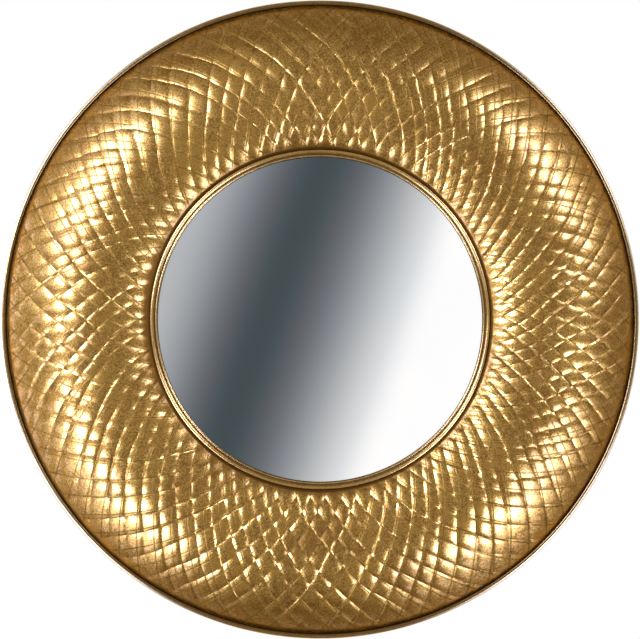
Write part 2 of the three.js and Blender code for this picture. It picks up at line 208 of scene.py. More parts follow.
def sheet_tree():
    """A grid is laid over the front of the domed sheet and over its rear, and closed at both edges."""
    tree, size = geometry_tree("pressed sheet", {
        "Grooves": GROOVES,
        "Cells per groove": 12,
        "Front rows": 64,
        "Rear rows": 36,
        "Rise": GROOVE_RISE,
        "Inner edge": INNER_EDGE,
        "Outer edge": OUTER_EDGE,
        "First crossing": FIRST_CROSSING,
        "Arc radius": ARC_RADIUS,
        "Arc centre": ARC_CENTRE,
        "Arc depth": ARC_DEPTH,
        "Sheet": 1.2 * mm,
        "Pillow rise": 0.36 * mm,
        "Shoulder rise": 0.55 * mm,
        "Shoulder reach": 4.8 * mm,
        "Lean": 0.3 * mm,
        "Dents": 0.14 * mm,
        "Wander": 0.6,
        "Crowding": 0.12,
        "Lag": 0.045,
        "Gather": 0.6,
        "Seed": 3.0,
    })
    columns = size["Grooves"] * size["Cells per groove"]
    rows = size["Front rows"] + size["Rear rows"] + 2
    grid = place(tree, "GeometryNodeMeshGrid", {
        "Size X": columns, "Size Y": rows, "Vertices X": columns + 1, "Vertices Y": rows + 1,
    })
    x, y, _ = parts_of(tree, tree.nodes.new("GeometryNodeInputPosition").outputs[0])
    column = (x + columns / 2).math("ROUND")
    row = (y + rows / 2).math("ROUND").math("FLOORED_MODULO", rows)

    # The first crossings lie a few rows in from the inner edge. Each cell is split along the groove
    # that crosses it, so that the creases run clean.
    cells, rows_in = size["Cells per groove"], 5
    crossed = (x + columns / 2 - y - rows / 2 - cells / 2 + rows_in) / cells
    first_split = place(tree, "GeometryNodeTriangulate", {
        "Mesh": grid.outputs[0], "Selection": crossed.math("PINGPONG", 0.5).math("LESS_THAN", 0.01),
    }, quad_method="FIXED")
    split = place(
        tree, "GeometryNodeTriangulate", {"Mesh": first_split.outputs[0]}, quad_method="FIXED_ALTERNATE"
    )

    # Rows run out over the front, over the rim's edge and back in over the rear.
    step = math.pi * 2 / columns
    angle = column * step
    inner_turn, outer_turn = size["Inner edge"] / size["Rise"], size["Outer edge"] / size["Rise"]
    first_turn = size["First crossing"] / size["Rise"]
    front_turn = first_turn + (row - rows_in) * step
    front_turn = front_turn.math("MAXIMUM", inner_turn).math("MINIMUM", outer_turn)
    back_in = (row - size["Front rows"] - 1) / size["Rear rows"]
    rear_turn = outer_turn + (inner_turn - outer_turn) * back_in
    rear = row.math("GREATER_THAN", size["Front rows"] + 0.5)
    turn = front_turn + (rear_turn - front_turn) * rear
    radius = turn * size["Rise"]

    # The pattern was set out by hand: it is crowded to one side, one family lags toward the rim, and
    # each groove wanders from its place. The sheet's own edges stay round.
    first, second = groove_numbers(angle, turn)
    circle = size["Grooves"] / (2 * math.pi)

    def wander_of(number, seed):
        around = number / circle
        x, y = around.math("COSINE") * circle, around.math("SINE") * circle
        return noise(tree, vector_of(tree, x, y, size["Seed"] + seed), 0.9, 1.0) - 0.5

    spot = vector_of(tree, angle.math("SINE") * radius, size["Seed"], angle.math("COSINE") * radius)
    along = noise(tree, spot, 11.0, 1.5) - 0.5
    first_off = (wander_of(first, 0.0) + along * 1.3) * size["Wander"]
    second_off = (wander_of(second, 7.0) - along * 1.3) * size["Wander"]
    rim_fade, crowded_at = 0.03, 1.31
    inside = turn.ramp(inner_turn, first_turn) * turn.ramp(outer_turn - rim_fade, outer_turn, 1.0, 0.0)
    across = (radius - size["Inner edge"]) / (size["Outer edge"] - size["Inner edge"])
    crowding = (angle - crowded_at).math("SINE") * size["Crowding"] + across * across * size["Lag"]
    angle_off = (first_off + second_off) * (math.pi / GROOVES) - crowding
    turn_off = (second_off - first_off) * (math.pi / GROOVES) * inside

    # The mesh is gathered toward the grooves, where the sheet bends most.
    gathered = [
        (number * math.tau).math("SINE") * size["Gather"] * (-0.5 / math.pi) for number in (first, second)
    ]
    first, second = first + gathered[0], second + gathered[1]
    angle = angle + angle_off + (gathered[0] + gathered[1]) * (math.pi / GROOVES)
    turn = turn + turn_off + (gathered[1] - gathered[0]) * (math.pi / GROOVES) * inside
    radius = turn * size["Rise"]

    # The relief: cushioned diamonds that lean a little, dents, and grooves that were pressed unevenly
    # and least at the top.
    press = angle.math("COSINE").ramp(-0.2, 0.95, 0.9, 0.5) + along * 0.7
    spacing = spacing_of(radius)

    def crown(number):
        """A cushion's height, from 0 on a groove to 1 half-way to the next."""
        return 1 - (1 - number.math("PINGPONG", 0.5) * 2).math("POWER", 2.0)

    def groove(number):
        """How deep the shoulders of a groove are pressed, by the distance from it."""
        which = (number + 0.5).math("FLOOR").math("FLOORED_MODULO", size["Grooves"])
        away = number.math("PINGPONG", 0.5) * spacing / size["Shoulder reach"]
        pressed = chance(tree, which, size["Seed"]) * 0.25 + press
        return (1 - away).math("MAXIMUM", 0.0).math("POWER", 1.4) * pressed

    which = [number.math("FLOOR").math("FLOORED_MODULO", size["Grooves"]) for number in (first, second)]
    lean = [(chance(tree, *which, seed) - 0.5) * 2 for seed in (1.0, 2.0, 3.0)]
    cushion = crown(first) * crown(second)
    slope = lean[0] * (first.math("FRACT") - 0.5) + lean[1] * (second.math("FRACT") - 0.5) + lean[2] * 0.4
    mean_crowns, mean_grooves = 1.33, 0.3
    relief = (crown(first) + crown(second) - mean_crowns) * size["Pillow rise"]
    relief = relief + slope * 2 * cushion * size["Lean"]
    relief = relief - (groove(first) + groove(second) - mean_grooves) * size["Shoulder rise"]

    # The relief fades out beside the bead and beside the rim, and the sheet is laid over its arc.
    pattern = radius.ramp(size["Inner edge"] + 2 * mm, size["Inner edge"] + 11 * mm)
    pattern = pattern * radius.ramp(size["Outer edge"] - 11 * mm, size["Outer edge"] - 3 * mm, 1.0, 0.0)
    dents = (noise(tree, spot, 55.0, 2.0) - 0.5) * size["Dents"] * inside
    height = relief * pattern + dents - rear * size["Sheet"]
    tilt = ((radius - size["Arc centre"]) / size["Arc radius"]).math("ARCSINE")
    reach = size["Arc centre"] + (size["Arc radius"] + height) * tilt.math("SINE")
    depth = size["Arc depth"] + (size["Arc radius"] + height) * tilt.math("COSINE")
    spot = vector_of(tree, reach * angle.math("SINE"), 0 - depth, reach * angle.math("COSINE"))
    formed = place(tree, "GeometryNodeSetPosition", {"Geometry": split.outputs[0], "Position": spot})
    kept = place(tree, "GeometryNodeStoreNamedAttribute", {
        "Geometry": formed.outputs[0], "Name": "wander", "Value": vector_of(tree, angle_off, turn_off, 0.0),
    }, data_type="FLOAT_VECTOR", domain="POINT")
    closed = place(tree, "GeometryNodeMergeByDistance", {
        "Geometry": kept.outputs[0], "Distance": 0.01 * mm,
    })

    # The sheet is smooth but for the creases, whose edges stay crisp.
    bend = Amount(tree, tree.nodes.new("GeometryNodeInputMeshEdgeAngle").outputs["Unsigned Angle"])
    soft = place(tree, "GeometryNodeSetShadeSmooth", {"Geometry": closed.outputs[0], "Shade Smooth": True})
    crisp = place(tree, "GeometryNodeSetShadeSmooth", {
        "Geometry": soft.outputs[0], "Selection": bend.math("GREATER_THAN", 0.3), "Shade Smooth": False,
    }, domain="EDGE")
    finish_tree(tree, crisp.outputs[0], size["Material"])
    return tree


def tint(code):
    """A colour written as in a paint chart, as the linear colour that a node takes."""
    parts = [int(code[i:i + 2], 16) / 255 for i in (0, 2, 4)]
    return (*[p / 12.92 if p <= 0.04045 else ((p + 0.055) / 1.055) ** 2.4 for p in parts], 1.0)


def blend_of(tree, share, one, other):
    """The first colour, going over to the other where the share is 1."""
    node = place(tree, "ShaderNodeMix", data_type="RGBA", clamp_factor=True)
    for name, item in (("Factor_Float", share), ("A_Color", one), ("B_Color", other)):
        slot = next(s for s in node.inputs if s.identifier == name)
        feed(tree, item, slot)
    return next(s for s in node.outputs if s.identifier == "Result_Color")


def shader_group(name, inputs, outputs, build):
    """A node group with named inputs and outputs, which more than one material uses."""
    tree = bpy.data.node_groups.new(name, "ShaderNodeTree")
    for label, value in inputs.items():
        kind = "NodeSocketFloat" if isinstance(value, float) else "NodeSocketVector"
        socket = tree.interface.new_socket(label, in_out="INPUT", socket_type=kind)
        if isinstance(value, float):
            socket.default_value = value
    for label in outputs:
        tree.interface.new_socket(label, in_out="OUTPUT", socket_type="NodeSocketFloat")
    entry = tree.nodes.new("NodeGroupInput")
    results = build(tree, {s.name: Amount(tree, s) for s in entry.outputs if s.name})
    place(tree, "NodeGroupOutput", results)
    return tree


def use_group(tree, group, inputs):
    """Places a shader group in a material with its own values, and gives its outputs by name."""
    node = tree.nodes.new("ShaderNodeGroup")
    node.node_tree = group
    for name, value in inputs.items():
        feed(tree, value, node.inputs[name])
    return {socket.name: Amount(tree, socket) for socket in node.outputs}


def leaf_flecks(tree, given):
    """Leaf laid by hand: breaks and rubbed flecks, slow changes of tone, and a fine grain."""
    vector = given["Vector"].socket
    slow = noise(tree, vector, 13.0, 2.0, 0.5, 0.3)
    patch = noise(tree, vector, 75.0, 3.0, 0.6)
    fine = noise(tree, vector, 330.0, 3.0, 0.65)
    dust = noise(tree, vector, 620.0, 2.0, 0.6)
    wear = fine * 0.55 + patch * 0.3 + slow * 0.15
    edge = 0.64 - given["Worn"] * 0.2
    return {
        "Flecks": wear.ramp(edge, edge + 0.07),
        "Glaze": (slow * 0.7 + patch * 0.3).ramp(0.4, 0.62),
        "Tone": slow * 0.5 + patch * 0.5,
        "Grain": fine * 0.3 + dust * 0.7,
    }


flecks_group = shader_group(
    "leaf flecks", {"Vector": None, "Worn": 0.5}, ["Flecks", "Glaze", "Tone", "Grain"], leaf_flecks
)


def new_material(name, **constants):
    """A material with some plain values set, and the place on the piece that its patterns read."""
    material = bpy.data.materials.new(name)
    material.use_nodes = True
    tree = material.node_tree
    shader = tree.nodes["Principled BSDF"]
    for slot in shader.inputs:
        label = slot.name.lower().replace(" ", "_")
        if label in constants:
            slot.default_value = constants[label]
    spot = tree.nodes.new("ShaderNodeTexCoord").outputs["Object"]
    return material, tree, shader, spot


def leafed(name, bright, deep, worn, wax_and_shade_at, painted_light_at=None, grooved=False, roughness=0.25):
    """Metal leaf under a thin lacquer. Dark wax and painted shade lie in the creases, painted light can be
    laid on by radius and side, and flecks are rubbed through.
    """
    material, tree, shader, spot = new_material(name, metallic=1.0, coat_roughness=0.2)
    x, _, z = parts_of(tree, spot)
    radius = (x * x + z * z).math("SQRT")
    wear = worn(radius) if callable(worn) else worn
    leaf = use_group(tree, flecks_group, {"Vector": spot, "Worn": wear})
    mottle = leaf["Tone"] * 0.35 + leaf["Grain"] * 0.65
    coat = leaf["Flecks"] * -0.3 + 0.7
    colour = blend_of(tree, mottle.ramp(0.43, 0.57), tint(deep), tint(bright))
    colour = blend_of(tree, leaf["Tone"].ramp(0.5, 0.62, 0.0, 0.4), colour, tint("b98a30"))
    colour = blend_of(tree, leaf["Tone"].ramp(0.5, 0.38, 0.0, 0.35), colour, tint("95682c"))
    colour = blend_of(tree, leaf["Flecks"] * 0.6, colour, tint("4a3510"))
    rough = leaf["Flecks"] * 0.2 + leaf["Tone"].ramp(0.35, 0.65, roughness + 0.05, roughness - 0.03)
    height = leaf["Grain"] * (wear * 0.015 + 0.006)
    # Extra colours laid on by radius and side. On the rim these are painted shade and a painted highlight.
    for share, code in painted_light_at(radius, x) if painted_light_at else ():
        colour = blend_of(tree, share, colour, tint(code))
    # Near-black dark wax and painted shade in the creases and gaps.
    crease_wax_and_shade = wax_and_shade_at(radius)
    colour = blend_of(tree, crease_wax_and_shade, colour, tint("0f0802"))
    rough = rough + crease_wax_and_shade * 0.3
    coat = coat - crease_wax_and_shade * 0.5
    if grooved:
        angle = math_node(tree, "ARCTAN2", x, z)
        turn = radius / GROOVE_RISE
        angle_off, turn_off, _ = parts_of(
            tree, place(tree, "ShaderNodeAttribute", attribute_name="wander").outputs["Vector"]
        )
        first, second = [
            number.math("PINGPONG", 0.5) * spacing_of(radius)
            for number in groove_numbers(angle - angle_off, turn - turn_off)
        ]
        away = first.math("MINIMUM", second)
        line = away.ramp(0.3 * mm, 1.2 * mm, 1.0, 0.0)
        lip = away.ramp(0.4 * mm, 3.0 * mm, 1.0, 0.0)
        pattern = radius.ramp(INNER_EDGE + 4 * mm, INNER_EDGE + 11 * mm)
        pattern = pattern * radius.ramp(OUTER_EDGE - 8 * mm, OUTER_EDGE - 3 * mm, 1.0, 0.0)
        broken = leaf["Tone"].ramp(0.36, 0.6, 0.35, 1.0)

        # The leaf is glazed brown toward the rim and goes copper beside it; beside the bead it is painted
        # darker as shade, most on the left.
        glaze = radius.ramp(345 * mm, 385 * mm) * (leaf["Glaze"] * 0.4 + 0.15)
        colour = blend_of(tree, glaze, colour, tint("8f5f1e"))
        copper = radius.ramp(382 * mm, 387 * mm) * leaf["Tone"].ramp(0.3, 0.6, 0.2, 0.5)
        colour = blend_of(tree, copper, colour, tint("b5781c"))
        # Painted shade: darker, rougher and less lacquered beside the bead, strongest on the left side.
        painted_shade_by_bead = radius.ramp(226 * mm, 217 * mm) * x.ramp(-0.21, -0.17, 1.0, 0.6)
        colour = blend_of(tree, painted_shade_by_bead, colour, tint("6b4718"))

        # Each groove holds a thin broken line of dark glaze that is also painted groove shade, with a paler
        # stain on its shoulders.
        colour = blend_of(tree, lip * pattern * 0.15, colour, tint("7a5720"))
        colour = blend_of(tree, line * pattern * broken * 0.5, colour, tint("3c2607"))
        rough = rough + (line * 0.12 + lip * 0.05) * pattern
        rough = rough + radius.ramp(330 * mm, 385 * mm) * 0.1 + painted_shade_by_bead * 0.15
        coat = coat - painted_shade_by_bead * 0.6 - line * pattern * 0.6 - radius.ramp(340 * mm, 370 * mm) * 0.3
        height = height - line * 0.08 * pattern
    bump = place(tree, "ShaderNodeBump", {"Strength": 1.0, "Distance": mm, "Height": height})
    feed(tree, colour, shader.inputs["Base Color"])
    feed(tree, rough, shader.inputs["Roughness"])
    feed(tree, coat.math("MAXIMUM", 0.0), shader.inputs["Coat Weight"])
    feed(tree, bump.outputs[0], shader.inputs["Normal"])
    return material


def sheet_wear(radius):
    """Leaf is worn most toward the rim, and a little by the bead."""
    return radius.ramp(335 * mm, 388 * mm, 0.3, 0.85) + radius.ramp(214 * mm, 232 * mm, 0.25, 0.0)


def sheet_wax_and_shade(radius):
    """Dark wax and painted crease shade, in the two creases beside the bead and beside the rim."""
    by_bead = radius.ramp(INNER_EDGE + 3.2 * mm, INNER_EDGE + 5.6 * mm, 1.0, 0.0)
    return by_bead + radius.ramp(OUTER_EDGE - 2.4 * mm, OUTER_EDGE - 1.6 * mm, 0.0, 0.95)


gold = leafed("gold leaf", "d4a656", "8a631c", sheet_wear, sheet_wax_and_shade, grooved=True)
sheet = grow("surround", sheet_tree(), material=gold)
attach(sheet, "mirror_frame")
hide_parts("frame_shell")

# ---------------------------------------------------------------- rim rod and bead
# A 7 mm steel rod is bent to a ring and welded along the outer edge of the sheet, and a 5 mm one where
# the sheet meets the cup. Both are leafed with the sheet. The rim's leaf is darker, with painted shade on
# its inner half and a painted highlight on its outer side at left and right.


def ring_tree():
    """A rod bent to a ring, which bows a little in and out of true."""
    tree, size = geometry_tree("rod ring", {
        "Radius": 0.4, "Depth": 0.01, "Rod": 0.007, "Steps": 616, "Sides": 20, "Bow": 0.08 * mm,
    })
    circle = place(tree, "GeometryNodeCurvePrimitiveCircle", {
        "Resolution": size["Steps"], "Radius": size["Radius"],
    }, mode="RADIUS")
    x, y, _ = parts_of(tree, tree.nodes.new("GeometryNodeInputPosition").outputs[0])
    off = (noise(tree, vector_of(tree, x, y, 0.3), 14.0, 1.0) - 0.5) * 2 * size["Bow"]
    share = 1 + off / size["Radius"]
    spot = vector_of(tree, y * share, off - size["Depth"], x * share)
    laid = place(tree, "GeometryNodeSetPosition", {"Geometry": circle.outputs[0], "Position": spot})
    profile = place(tree, "GeometryNodeCurvePrimitiveCircle", {
        "Resolution": size["Sides"], "Radius": size["Rod"] / 2,
    }, mode="RADIUS")
    rod = place(tree, "GeometryNodeCurveToMesh", {
        "Curve": laid.outputs[0], "Profile Curve": profile.outputs[0],
    })
    soft = place(tree, "GeometryNodeSetShadeSmooth", {"Geometry": rod.outputs[0], "Shade Smooth": True})
    finish_tree(tree, soft.outputs[0], size["Material"])
    return tree


def rim_gap_shade(radius):
    """Dark wax and painted shade lie in the thin gap between the sheet and the rod."""
    return radius.ramp(393.6 * mm, 394.4 * mm, 0.95, 0.0)


def rim_shade_and_highlight(radius, x):
    """Painted light: the inner half is painted dull as shade, and the outer side is painted pale as a
    highlight at left and right.
    """
    inner = radius.ramp(395.6 * mm, 398.0 * mm, 0.75, 0.0)
    outer = radius.ramp(397.4 * mm, 399.0 * mm, 0.0, 0.8) * x.math("ABSOLUTE").ramp(0.12, 0.28, 0.1, 1.0)
    return [(inner, "64502a"), (outer, "efe9d0")]


def bead_wax_and_shade(radius):
    """Dark wax and painted shade lie on both sides of the bead."""
    return radius.ramp(210.9 * mm, 211.5 * mm, 0.0, 0.9) + radius.ramp(207.0 * mm, 207.6 * mm, 0.5, 0.0)


rods = ring_tree()
rim_leaf = leafed("rim leaf", "b08644", "84602a", 0.4, rim_gap_shade, rim_shade_and_highlight, roughness=0.24)
rim = grow("rim_rod", rods, radius=396.5 * mm, depth=11.8 * mm, rod=7 * mm, material=rim_leaf)
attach(rim, "mirror_frame")
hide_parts("outer_rim_rod")

bead_leaf = leafed("bead leaf", "d8b26c", "b98d48", 0.2, bead_wax_and_shade, roughness=0.22)
bead = grow("bead", rods, radius=209.4 * mm, depth=42.82 * mm, rod=5 * mm, steps=462, material=bead_leaf)
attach(bead, "mirror_frame")
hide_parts("inner_bead_rod")

# ---------------------------------------------------------------- cup
# A spun steel ring holds the glass: its wall goes back behind the bead, and its front is folded in and
# rolled to the thin lip that shows round the glass. The lip is leafed with the sheet.


def solid(name, make, material, sharp=35.0):
    """Makes a closed mesh from a bmesh, with smooth faces and sharp corners."""
    form = bmesh.new()
    make(form)
    bmesh.ops.remove_doubles(form, verts=form.verts, dist=0.005 * mm)
    bmesh.ops.recalc_face_normals(form, faces=form.faces)
    mesh = bpy.data.meshes.new(name)
    form.to_mesh(mesh)
    form.free()
    mesh.shade_smooth()
    mesh.set_sharp_from_angle(angle=math.radians(sharp))
    mesh.materials.append(material)
    piece = bpy.data.objects.new(name, mesh)
    scene.collection.objects.link(piece)
    return piece


def turned(form, corners, steps, z=0.0):
    """Turns closed (radius, depth) corners about the mirror's axis, or about a line above it."""
    rings = []
    for i in range(steps):
        angle = 2 * math.pi * i / steps
        rings.append([
            form.verts.new((r * math.sin(angle), -depth, z + r * math.cos(angle)))
            for r, depth in corners
        ])
    for i, ring in enumerate(rings):
        after = rings[(i + 1) % steps]
        for j in range(len(corners)):
            k = (j + 1) % len(corners)
            if corners[j][0] == 0 and corners[k][0] == 0:
                continue
            around = [ring[j], ring[k], after[k], after[j]]
            if corners[j][0] == 0:
                around = [ring[j], ring[k], after[k]]
            elif corners[k][0] == 0:
                around = [ring[j], ring[k], after[j]]
            form.faces.new(around)


def bow(radius, depth, size, start, stop, pieces):
    """(radius, depth) corners along an arc. Angle 0 points away from the axis and 90 to the front."""
    turns = [math.radians(start + (stop - start) * i / pieces) for i in range(pieces + 1)]
    return [(radius + size * math.cos(t), depth + size * math.sin(t)) for t in turns]


LIP_RADIUS, LIP_DEPTH, LIP_ROLL = 204.1 * mm, 40.12 * mm, 1.6 * mm
CUP_INNER, CUP_OUTER, CUP_REAR = 210.3 * mm, 211.8 * mm, 15.48 * mm
FLANGE_FRONT, FLANGE_REAR = 40.02 * mm, 38.52 * mm


def cup_form(form):
    turned(form, [
        *bow(CUP_OUTER - 0.3 * mm, CUP_REAR + 0.3 * mm, 0.3 * mm, -90, 0, 3),
        *bow(CUP_OUTER - 0.8 * mm, FLANGE_FRONT - 0.8 * mm, 0.8 * mm, 0, 90, 4),
        *bow(LIP_RADIUS, LIP_DEPTH, LIP_ROLL, -4, 262, 16),
        (LIP_RADIUS + 0.6 * mm, FLANGE_REAR),
        *bow(CUP_INNER - 0.6 * mm, FLANGE_REAR - 0.6 * mm, 0.6 * mm, 90, 0, 3),
        *bow(CUP_INNER + 0.3 * mm, CUP_REAR + 0.3 * mm, 0.3 * mm, 180, 270, 3),
    ], 308)


def lip_wax_and_shade(radius):
    """Dark wax and painted shade stay beside the lip on both sides, and by the bead."""
    outside = radius.ramp(205.4 * mm, 206.0 * mm, 0.0, 0.6)
    return outside + radius.ramp(202.8 * mm, 203.3 * mm, 0.9, 0.0)


lip_leaf = leafed("lip leaf", "dcb874", "bd914c", 0.2, lip_wax_and_shade, roughness=0.22)
cup = solid("cup", cup_form, lip_leaf)
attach(cup, "mirror_frame")
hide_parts("mirror_cup")

# ---------------------------------------------------------------- glass
# The mirror is 3 mm glass, bent to a shallow dome and silvered behind. Its edge is ground, and its rim
# rests against the lip.

GLASS_RADIUS, GLASS_ARC, CROWN, GLASS_THICK = 209.8 * mm, 1474.7 * mm, 52.41 * mm, 3 * mm


def glass_form(form):
    def dome(radius, top, arc):
        """The depth of a face that falls away from its top along an arc."""
        return top - (arc - math.sqrt(arc * arc - radius * radius))

    rings, bevel = 40, 0.6 * mm
    radii = [(GLASS_RADIUS - bevel) * i / rings for i in range(rings + 1)]
    front = [(r, dome(r, CROWN, GLASS_ARC)) for r in radii]
    rear = [(r, dome(r, CROWN - GLASS_THICK, GLASS_ARC - GLASS_THICK)) for r in radii]
    edge = [(GLASS_RADIUS, front[-1][1] - bevel), (GLASS_RADIUS, rear[-1][1] + bevel)]
    turned(form, front + edge + rear[::-1], 308)


def silvered():
    material, tree, shader, spot = new_material("silvered glass", metallic=1.0)
    haze = noise(tree, spot, 9.0, 3.0)
    dust = noise(tree, spot, 700.0, 1.0)
    x, _, z = parts_of(tree, spot)
    radius = (x * x + z * z).math("SQRT")
    edge = radius.ramp(198 * mm, 209 * mm)
    colour = blend_of(tree, haze.ramp(0.35, 0.65), tint("f2f5f5"), tint("eff3f4"))
    colour = blend_of(tree, edge * 0.35, colour, tint("9aa8a4"))
    feed(tree, colour, shader.inputs["Base Color"])
    feed(tree, dust.ramp(0.72, 0.8, 0.0, 0.03) + haze * 0.012, shader.inputs["Roughness"])
    return material


glass = solid("glass", glass_form, silvered(), 30.0)
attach(glass, "mirror_frame")
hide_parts("mirror_glass")

# ---------------------------------------------------------------- gasket and backing board
# A foam rubber ring takes up the dome between the glass and the board. The board is a 5 mm disc of
# wood fibre, sawn round, with its edges broken.


def rubber(name, dark, pale):
    """Black rubber with a bloom of dust and a moulded, slightly pitted skin."""
    material, tree, shader, spot = new_material(name, specular_ior_level=0.35)
    bloom = noise(tree, spot, 120.0, 4.0, 0.6)
    pits = noise(tree, spot, 1500.0, 2.0)
    colour = blend_of(tree, bloom.ramp(0.45, 0.75), tint(dark), tint(pale))
    bump = place(tree, "ShaderNodeBump", {"Distance": 0.08 * mm, "Height": pits + bloom * 0.5})
    feed(tree, colour, shader.inputs["Base Color"])
    feed(tree, bloom.ramp(0.3, 0.7, 0.65, 0.9), shader.inputs["Roughness"])
    feed(tree, bump.outputs[0], shader.inputs["Normal"])
    return material


gasket = frame["nodes"]["glass_gasket"]
gasket.data.materials.clear()
gasket.data.materials.append(rubber("gasket foam", "232327", "3c3b3a"))

BOARD_RADIUS, BOARD_FRONT, BOARD_REAR = 209.5 * mm, 29.78 * mm, 24.78 * mm


def board_form(form):
    chamfer = 0.7 * mm
    turned(form, [
        (0, BOARD_FRONT),
        (BOARD_RADIUS - chamfer, BOARD_FRONT),
        (BOARD_RADIUS, BOARD_FRONT - chamfer),
        (BOARD_RADIUS, BOARD_REAR + chamfer),
        (BOARD_RADIUS - chamfer, BOARD_REAR),
        (0, BOARD_REAR),
    ], 154)


def fibreboard():
    material, tree, shader, spot = new_material("fibreboard", specular_ior_level=0.3)
    x, y, z = parts_of(tree, spot)
    fibres = noise(tree, vector_of(tree, x * 0.35, y, z), 900.0, 5.0, 0.7, 1.5)
    threads = noise(tree, vector_of(tree, x * 3.2 + z, y, z * 0.5), 220.0, 4.0, 0.65, 2.0)
    cloud = noise(tree, spot, 14.0, 3.0)
    colour = blend_of(tree, cloud.ramp(0.35, 0.65), tint("8f7250"), tint("a08360"))
    colour = blend_of(tree, threads.ramp(0.55, 0.72) * 0.5, colour, tint("6b5236"))
    colour = blend_of(tree, fibres.ramp(0.55, 0.75) * 0.6, colour, tint("c2a47c"))
    colour = blend_of(tree, fibres.ramp(0.42, 0.3) * 0.5, colour, tint("5b4429"))
    bump = place(tree, "ShaderNodeBump", {"Distance": 0.15 * mm, "Height": fibres + threads * 0.5})
    feed(tree, colour, shader.inputs["Base Color"])
    feed(tree, fibres.ramp(0.3, 0.7, 0.88, 0.7), shader.inputs["Roughness"])
    feed(tree, bump.outputs[0], shader.inputs["Normal"])
    return material


board = solid("board", board_form, fibreboard())
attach(board, "mirror_frame")
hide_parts("backing_board")

# ---------------------------------------------------------------- clips and their screws
# Six clips of 1 mm zinc-plated steel are welded inside the cup's wall and bent in over the board. A
# pan-head screw with a cross recess goes through each into the board.


def bent_strip(form, line, half_widths, thickness):
    """A strip bent along a line of (height, depth) points, at X = 0, with a half width at each."""
    rows = []
    for i, (height, depth) in enumerate(line):
        before, after = line[max(i - 1, 0)], line[min(i + 1, len(line) - 1)]
        along = Vector((after[0] - before[0], after[1] - before[1])).normalized()
        off = Vector((-along.y, along.x)) * thickness / 2
        half = half_widths[i]
        rows.append([
            form.verts.new((side * half, -(depth + face * off.y), height + face * off.x))
            for side, face in ((-1, -1), (1, -1), (1, 1), (-1, 1))
        ])
    for one, other in zip(rows, rows[1:]):
        for j in range(4):
            k = (j + 1) % 4
            form.faces.new((one[j], one[k], other[k], other[j]))
    form.faces.new(rows[0])
    form.faces.new(rows[-1][::-1])


def round_end(line, half, corner, both=True):
    """Half widths along a line whose corners are rounded at its start, and at its end as well."""
    total = [0.0]
    for one, other in zip(line, line[1:]):
        total.append(total[-1] + math.dist(one, other))
    halves = []
    for at in total:
        left = min(at, total[-1] - at) if both else at
        short = max(0.0, corner - left)
        halves.append(half - corner + math.sqrt(max(0.0, corner**2 - short**2)))
    return halves


def soften(piece, width):
    """Breaks the edges of a cut or pressed piece, and keeps the result as a plain mesh."""
    bevel = piece.modifiers.new("broken edges", "BEVEL")
    bevel.width, bevel.segments, bevel.limit_method = width, 2, "ANGLE"
    bevel.angle_limit = math.radians(40)
    graph = bpy.context.evaluated_depsgraph_get()
    mesh = bpy.data.meshes.new_from_object(piece.evaluated_get(graph))
    piece.modifiers.clear()
    piece.data = mesh
    return piece


def round_tree():
    """Sets copies of a piece round the mirror, turned with the circle or upright."""
    tree, size = geometry_tree("set round the mirror", {
        "Count": 6, "First angle": 0.0, "Step": 1.0, "Radius": 0.0, "Turned": 1.0,
    })
    points = place(tree, "GeometryNodePoints", {"Count": size["Count"]})
    index = Amount(tree, tree.nodes.new("GeometryNodeInputIndex").outputs[0])
    angle = size["First angle"] + index * size["Step"]
    spot = vector_of(tree, angle.math("SINE") * size["Radius"], 0.0, angle.math("COSINE") * size["Radius"])
    moved = place(tree, "GeometryNodeSetPosition", {"Geometry": points.outputs[0], "Position": spot})
    shape = place(tree, "GeometryNodeObjectInfo", {"Object": size["Piece"]})
    copies = place(tree, "GeometryNodeInstanceOnPoints", {
        "Points": moved.outputs[0],
        "Instance": shape.outputs["Geometry"],
        "Rotation": vector_of(tree, 0.0, angle * size["Turned"], 0.0),
    })
    finish_tree(tree, copies.outputs[0], size["Material"])
    return tree


set_round = round_tree()


def arranged(name, pattern, material, count, first, step, radius=0.0, turned_with=1.0):
    """Sets a pattern piece round the mirror as one mesh, and drops the pattern."""
    group = grow(
        name, set_round, count=count, first_angle=math.radians(first), step=math.radians(step),
        radius=radius, turned=turned_with, piece=pattern, material=material,
    )
    bpy.data.objects.remove(pattern)
    return group


def edge_rub(tree, given):
    """Where handling has rubbed the corners, and fine scratches over the rest."""
    rise = Amount(tree, tree.nodes.new("ShaderNodeNewGeometry").outputs["Pointiness"])
    vector = given["Vector"].socket
    broken = noise(tree, vector, 260.0, 4.0, 0.65)
    x, y, z = parts_of(tree, vector)
    scratch = noise(tree, vector_of(tree, x * 9.0, y, z), 120.0, 3.0, 0.6, 0.4)
    other = noise(tree, vector_of(tree, x, y, z * 9.0), 140.0, 3.0, 0.6, 0.4)
    fine = scratch.math("MAXIMUM", other).ramp(0.66, 0.74)
    return {
        "Rubbed": (rise + (broken - 0.5) * 0.12 + (given["Amount"] - 0.5) * 0.1).ramp(0.54, 0.6),
        "Scratches": fine * given["Amount"],
    }


rub_group = shader_group("edge rub", {"Vector": None, "Amount": 0.5}, ["Rubbed", "Scratches"], edge_rub)


